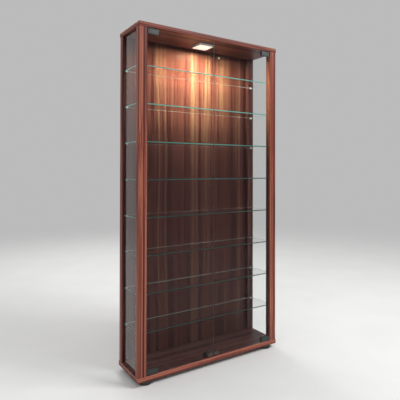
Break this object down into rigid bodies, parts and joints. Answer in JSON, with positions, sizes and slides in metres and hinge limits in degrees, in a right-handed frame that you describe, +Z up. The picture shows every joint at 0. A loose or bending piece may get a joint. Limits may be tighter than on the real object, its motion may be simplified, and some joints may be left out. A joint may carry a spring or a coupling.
{
  "type": "glass display cabinet",
  "caption": "Tall narrow display cabinet with glass sides, glass shelves, two frameless pivot-hung glass doors, a ceiling lamp and round feet, fixed back to a wall.",
  "frame": {"origin": "on the floor, in the middle of the cabinet's footprint", "axes": "+Z up, +X to the right as seen from the front, -Y to the front, +Y to the wall"},
  "size_m": [0.9, 0.25, 1.824],
  "materials": {
    "wood_decor": "satin foil with an upright mahogany grain",
    "back_panel_decor": "satin foil with an upright mahogany grain, darker",
    "side_glass": "clear float glass, 4 mm",
    "shelf_glass": "clear float glass, 5 mm, green edges",
    "clear_plastic": "clear moulded plastic",
    "door_glass": "clear float glass, 4 mm, ground edges",
    "hinge_black": "black powder coat",
    "hinge_plate_metal": "brushed grey steel",
    "pad_rubber": "soft black pad",
    "zinc_steel": "zinc-plated steel",
    "strike_steel": "black steel clip",
    "black_plastic": "black moulded plastic",
    "plunger_plastic": "dark brown acetal",
    "magnet_nickel": "nickel-plated magnet",
    "spring_steel": "drawn spring wire",
    "lamp_white": "white moulded plastic",
    "lamp_board_green": "white-lacquered circuit board",
    "led_yellow": "yellow phosphor",
    "opal_diffuser": "opal acrylic, lit",
    "dowel_wood": "bare beech"
  },
  "bodies": {
    "cabinet": {"bottom_panel": "wood_decor", "top_panel": "wood_decor", "post_front_left": "wood_decor", "post_front_right": "wood_decor", "post_rear_left": "wood_decor", "post_rear_right": "wood_decor", "screw_caps": "wood_decor", "back_panel": "back_panel_decor", "side_glass_left": "side_glass", "side_glass_right": "side_glass", "shelf_1": "shelf_glass", "shelf_2": "shelf_glass", "shelf_3": "shelf_glass", "shelf_4": "shelf_glass", "shelf_5": "shelf_glass", "shelf_6": "shelf_glass", "shelf_7": "shelf_glass", "shelf_8": "shelf_glass", "shelf_supports_left": "clear_plastic", "shelf_supports_right": "clear_plastic", "latch_screws": "zinc_steel", "lamp_screws": "zinc_steel", "foot_screws": "zinc_steel", "frame_screws_top": "zinc_steel", "frame_screws_bottom": "zinc_steel", "wall_bracket_left": "zinc_steel", "wall_bracket_right": "zinc_steel", "bracket_screws": "zinc_steel", "hinge_bushings": "black_plastic", "latch_housing": "black_plastic", "foot_front_left": "black_plastic", "foot_front_right": "black_plastic", "foot_rear_left": "black_plastic", "foot_rear_right": "black_plastic", "latch_springs": "spring_steel", "lamp_housing": "lamp_white", "lamp_lead_grommet": "lamp_white", "lamp_board": "lamp_board_green", "lamp_leds": "led_yellow", "lamp_diffuser": "opal_diffuser", "dowels": "dowel_wood"},
    "door_left": {"door_glass_left": "door_glass", "hinge_clamp_top_left": "hinge_black", "hinge_clamp_bottom_left": "hinge_black", "hinge_plates_left": "hinge_plate_metal", "hinge_pads_left": "pad_rubber", "hinge_screws_left": "zinc_steel", "strike_clip_left": "strike_steel"},
    "door_right": {"door_glass_right": "door_glass", "hinge_clamp_top_right": "hinge_black", "hinge_clamp_bottom_right": "hinge_black", "hinge_plates_right": "hinge_plate_metal", "hinge_pads_right": "pad_rubber", "hinge_screws_right": "zinc_steel", "strike_clip_right": "strike_steel"},
    "push_plunger_left": {"latch_plunger_left": "plunger_plastic", "latch_magnet_left": "magnet_nickel"},
    "push_plunger_right": {"latch_plunger_right": "plunger_plastic", "latch_magnet_right": "magnet_nickel"}
  },
  "joints": [
    {"name": "door_left_hinge", "type": "hinge", "parent": "cabinet", "child": "door_left", "pos_m": [-0.388, -0.115, 0.0415], "axis": [0, 0, -1], "range_deg": [0, 105]},
    {"name": "door_right_hinge", "type": "hinge", "parent": "cabinet", "child": "door_right", "pos_m": [0.388, -0.115, 0.0415], "axis": [0, 0, 1], "range_deg": [0, 105]},
    {"name": "latch_push_left", "type": "slide", "parent": "cabinet", "child": "push_plunger_left", "axis": [0, 1, 0], "range_m": [0, 0.003], "stiffness_N_per_m": 400, "springref_m": -0.003},
    {"name": "latch_push_right", "type": "slide", "parent": "cabinet", "child": "push_plunger_right", "axis": [0, 1, 0], "range_m": [0, 0.003], "stiffness_N_per_m": 400, "springref_m": -0.003}
  ]
}
